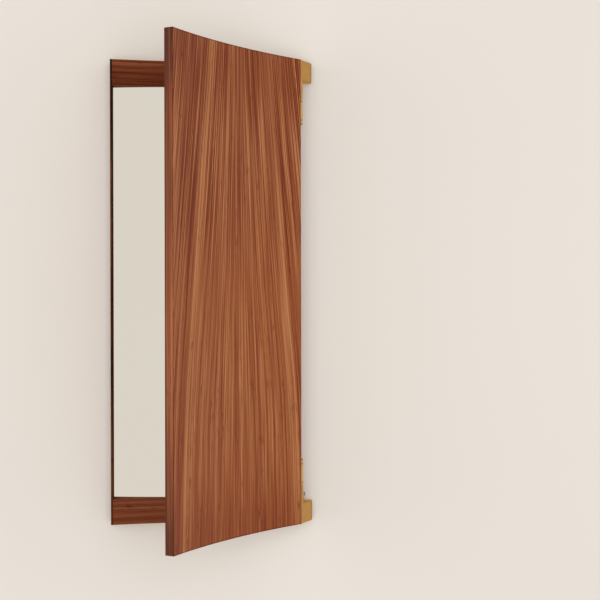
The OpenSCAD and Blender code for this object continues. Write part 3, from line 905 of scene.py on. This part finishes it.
def make_stud():
    """The small stud on the lower block and its dull cap."""
    for name, edge, finish, slot in (("adjusting_stud", 0.2 * MM, STUD_STEEL, "pin_steel"),
                                     ("stud_cap", 0.5 * MM, DULL_CAP, "black")):
        low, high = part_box(name)
        centre = np.array([(low.x + high.x) / 2, (low.y + high.y) / 2])
        profile = rounded_rod((high.x - low.x) / 2, (low.z, high.z), edge)
        rod = turned(profile, centre, count=TURN_STEPS // 2)
        piece(f"{name}_turned", [rod], finish, "frame", name)


# ---------------------------------------------------------------- the shutter

def make_shutter():
    """Core, veneers and lippings, each a curved layer with softened edges."""
    tall, ends = (-HALF_H, HALF_H), (HALF_H - LIP_W, HALF_H)
    core = (CORE_R1, CORE_R2)
    sheet = prism(shutter_plan((FACE_R, CORE_R1), 0, HALF_W, SHEET_EDGE), tall, SHEET_EDGE, swing)
    piece("face_sheet", [sheet], FACE_WALNUT, "shutter", "face_veneer")
    strip = prism(free_strip_plan(core, LIP_EDGE), tall, LIP_EDGE, swing)
    piece("free_edge_strip", [strip], LIP_WALNUT, "shutter", "free_edge_lipping")
    outline = shutter_plan(core, LIP_W, HALF_W - LIP_W, LIP_EDGE)
    for name, place in SHUTTER_ENDS:
        piece(f"{name}_edge_strip", [prism(outline, ends, LIP_EDGE, place)], END_WALNUT,
              "shutter", f"{name}_edge_lipping")
    paint("back_veneer", BACK_WALNUT)
    paint("hinge_edge_lipping", LIP_WALNUT)
    paint("shutter_core", CORE_PLY)
    paint("strike_plates", ZINC)


def free_strip_plan(radii, edge):
    """Plan of the lipping on the free edge: square to the hollow face and LIP_W wide."""
    ends = [curve(r, -FREE_A, -FREE_A + math.asin(LIP_W / r), 2) for r in radii]
    (a, b), (d, c) = ends
    return plan((*a, edge), (*b, edge), (*c, edge), (*d, edge))


def make_leaves():
    """The turning half of each hinge, and the cap that ends its barrel.

    The cap is turned: a domed lower rim, a groove near its top and a small bevel above it.
    """
    dome, groove, bevel = 1.2 * MM, 0.35 * MM, 0.3 * MM
    top = CAP_Z + CAP_H
    a = np.linspace(0, math.pi / 2, 6)
    rim = np.stack([BARREL_R - dome + dome * np.sin(a), CAP_Z + dome - dome * np.cos(a)], -1)
    cap = [(POLE_R, CAP_Z), *rim, (BARREL_R, top - 1.4 * MM), (BARREL_R - groove, top - 1.1 * MM),
           (BARREL_R - groove, top - 0.6 * MM), (BARREL_R, top - bevel), (BARREL_R - bevel, top),
           (POLE_R, top)]
    for name, place in SHUTTER_ENDS:
        paint(f"{name}_hinge_leaf", LEAF_BRASS)
        piece(f"{name}_cap_turned", [turned(cap, PIVOT, place)], LEAF_BRASS, "shutter",
              f"{name}_barrel_cap")


def on_back(slope, z):
    """A point of the closed shutter's back, at an angle from straight behind the common axis, and
    the direction square to it."""
    out = np.array([math.sin(slope), math.cos(slope), 0.0])
    return np.array([0.0, AXIS_Y, z]) + BACK_R * out, out


def make_bumpers():
    """Two soft domes on the shutter's back."""
    dome_r, dome_h = 4 * MM, 0.75 * MM
    a = np.linspace(0, math.pi / 2, 9)[:-1]
    profile = [(POLE_R, 0.0), *np.stack([dome_r * np.cos(a), dome_h * np.sin(a)], -1),
               (POLE_R, dome_h)]
    domes = []
    for middle in middles_of("shutter_bumpers"):
        x, _, z = swing([middle], -OPEN)[0]
        dome = turned(profile, np.zeros(2), count=32)
        domes.append(aimed(dome, *on_back(math.asin(x / BACK_R), z), swing))
    piece("bumper_domes", domes, BUMPER, "shutter", "shutter_bumpers")


def make_screws():
    """Crosshead screws on the middles of the frame's own solids, all but the leaf screws square to
    the frame's back or its outer side."""
    for kind, size in (("rail", RAIL_SCREW), ("hanger", HANGER_SCREW)):
        shells = [aimed(screw(*size), (x, 0.0, z), (0, 1, 0))
                  for x, _, z in middles_of(f"{kind}_screws")]
        piece(f"{kind}_crossheads", shells, ZINC, "frame", f"{kind}_screws")
    shells = [aimed(screw(*BLOCK_SCREW), (BLOCK_X, y, z), (1, 0, 0))
              for _, y, z in middles_of("block_screws")]
    piece("block_crossheads", shells, BLOCK_BRASS, "frame", "block_screws")
    shells = []
    for middle in middles_of("leaf_screws"):
        x, y, z = swing([middle], -OPEN)[0]
        shells.append(aimed(screw(*LEAF_SCREW), *on_back(math.atan2(x, y - AXIS_Y), z), swing))
    piece("leaf_crossheads", shells, ZINC, "shutter", "leaf_screws")


# ---------------------------------------------------------------- stage, light and camera

WALL_COLOUR = srgb(229, 223, 216)
LIGHT_COLOUR = (1.0, 0.985, 0.96)
AMBIENT = 0.61

# Name, place, size in metres and watts of each studio light; all face the middle of the mirror
LIGHTS = [("front", (0.1, -3.3, 0.05), 2.8, 45), ("left", (-2.9, -1.5, 0.1), 2.4, 24),
          ("right", (2.9, -1.5, 0.1), 2.4, 15), ("rear", (0, 3.3, 0.1), 2.8, 45)]


def wired(tree, kind, *sources, **settings):
    """A new node with its settings made, and its first inputs linked from the given sockets."""
    made = tree.nodes.new(kind)
    for key, value in settings.items():
        setattr(made, key, value)
    for socket, source in zip(made.inputs, sources):
        tree.links.new(source, socket)
    return made


def stage_material(name, colour):
    """Plain matt stage that only the camera and rays through glass see, only from its front."""
    material = bpy.data.materials.new(name)
    material.use_nodes = True
    tree = material.node_tree
    tree.nodes.clear()
    matt = wired(tree, "ShaderNodeBsdfDiffuse")
    matt.inputs["Color"].default_value = colour
    clear = wired(tree, "ShaderNodeBsdfTransparent")
    path = wired(tree, "ShaderNodeLightPath").outputs
    side = wired(tree, "ShaderNodeNewGeometry").outputs
    seen = wired(tree, "ShaderNodeMath", path["Is Camera Ray"], path["Is Transmission Ray"],
                 operation="MAXIMUM")
    front = wired(tree, "ShaderNodeMath", seen.outputs[0], side["Backfacing"],
                  operation="SUBTRACT", use_clamp=True)
    mix = wired(tree, "ShaderNodeMixShader", front.outputs[0], clear.outputs[0], matt.outputs[0])
    wired(tree, "ShaderNodeOutputMaterial", mix.outputs[0])
    return material


def stage_plane(name, corners, colour):
    """A flat stage piece through four corners, facing the side they turn anticlockwise on."""
    mesh = bpy.data.meshes.new(name)
    mesh.from_pydata(corners, [], [[0, 1, 2, 3]])
    obj = bpy.data.objects.new(name, mesh)
    bpy.context.scene.collection.objects.link(obj)
    mesh.materials.append(stage_material(name, colour))


def make_stage():
    """The wall behind the mirror and a floor far below it."""
    wall_y, reach, floor_z, height = 0.6 * MM, 4.0, -1.2, 3.0
    stage_plane("wall", [(-reach, wall_y, floor_z), (reach, wall_y, floor_z),
                         (reach, wall_y, height), (-reach, wall_y, height)], WALL_COLOUR)
    stage_plane("floor", [(-reach, -reach, floor_z), (reach, -reach, floor_z),
                          (reach, reach, floor_z), (-reach, reach, floor_z)], WALL_COLOUR)


def make_world():
    """Even studio light, and the wall's colour where the camera or gloss sees past the stage."""
    world = bpy.data.worlds.new("studio")
    bpy.context.scene.world = world
    world.use_nodes = True
    tree = world.node_tree
    tree.nodes.clear()
    light = wired(tree, "ShaderNodeBackground")
    light.inputs["Color"].default_value = (*LIGHT_COLOUR, 1)
    light.inputs["Strength"].default_value = AMBIENT
    beyond = wired(tree, "ShaderNodeBackground")
    beyond.inputs["Color"].default_value = WALL_COLOUR
    path = wired(tree, "ShaderNodeLightPath").outputs
    either = wired(tree, "ShaderNodeMath", path["Is Camera Ray"], path["Is Glossy Ray"],
                   operation="MAXIMUM")
    mix = wired(tree, "ShaderNodeMixShader", either.outputs[0], light.outputs[0],
                beyond.outputs[0])
    wired(tree, "ShaderNodeOutputWorld", mix.outputs[0])


def make_light(name, place, size, watts):
    """A square studio light aimed at the middle of the mirror, not seen in gloss."""
    data = bpy.data.lights.new(name, "AREA")
    data.shape, data.size, data.energy, data.color = "SQUARE", size, watts, LIGHT_COLOUR
    obj = bpy.data.objects.new(name, data)
    bpy.context.scene.collection.objects.link(obj)
    obj.location = place
    obj.rotation_euler = (-Vector(place)).to_track_quat("-Z", "Y").to_euler()
    obj.visible_glossy = False


def make_camera():
    """The photograph's view, from its fitted camera: turned a little right of square to the wall,
    at mid height."""
    focal_px, frame_px, sensor = 1197.6, 600.0, 36.0
    place, yaw, pitch, roll = (0.0026, -2.6333, -0.0048), -0.079, -0.0049, 0.0018
    data = bpy.data.cameras.new("camera")
    data.sensor_width, data.lens = sensor, sensor * focal_px / frame_px
    obj = bpy.data.objects.new("camera", data)
    bpy.context.scene.collection.objects.link(obj)
    level = Matrix.Rotation(math.pi / 2, 4, "X")
    turn = (Matrix.Rotation(yaw, 4, "Z") @ Matrix.Rotation(pitch, 4, "X")
            @ Matrix.Rotation(roll, 4, "Y"))
    obj.matrix_world = Matrix.Translation(place) @ turn @ level
    bpy.context.scene.camera = obj


make_camera()
make_frame()
make_mirror()
make_blocks()
make_stud()
make_shutter()
make_leaves()
make_bumpers()
make_screws()
make_stage()
make_world()
for light in LIGHTS:
    make_light(*light)
bpy.context.scene.view_settings.view_transform = "Standard"
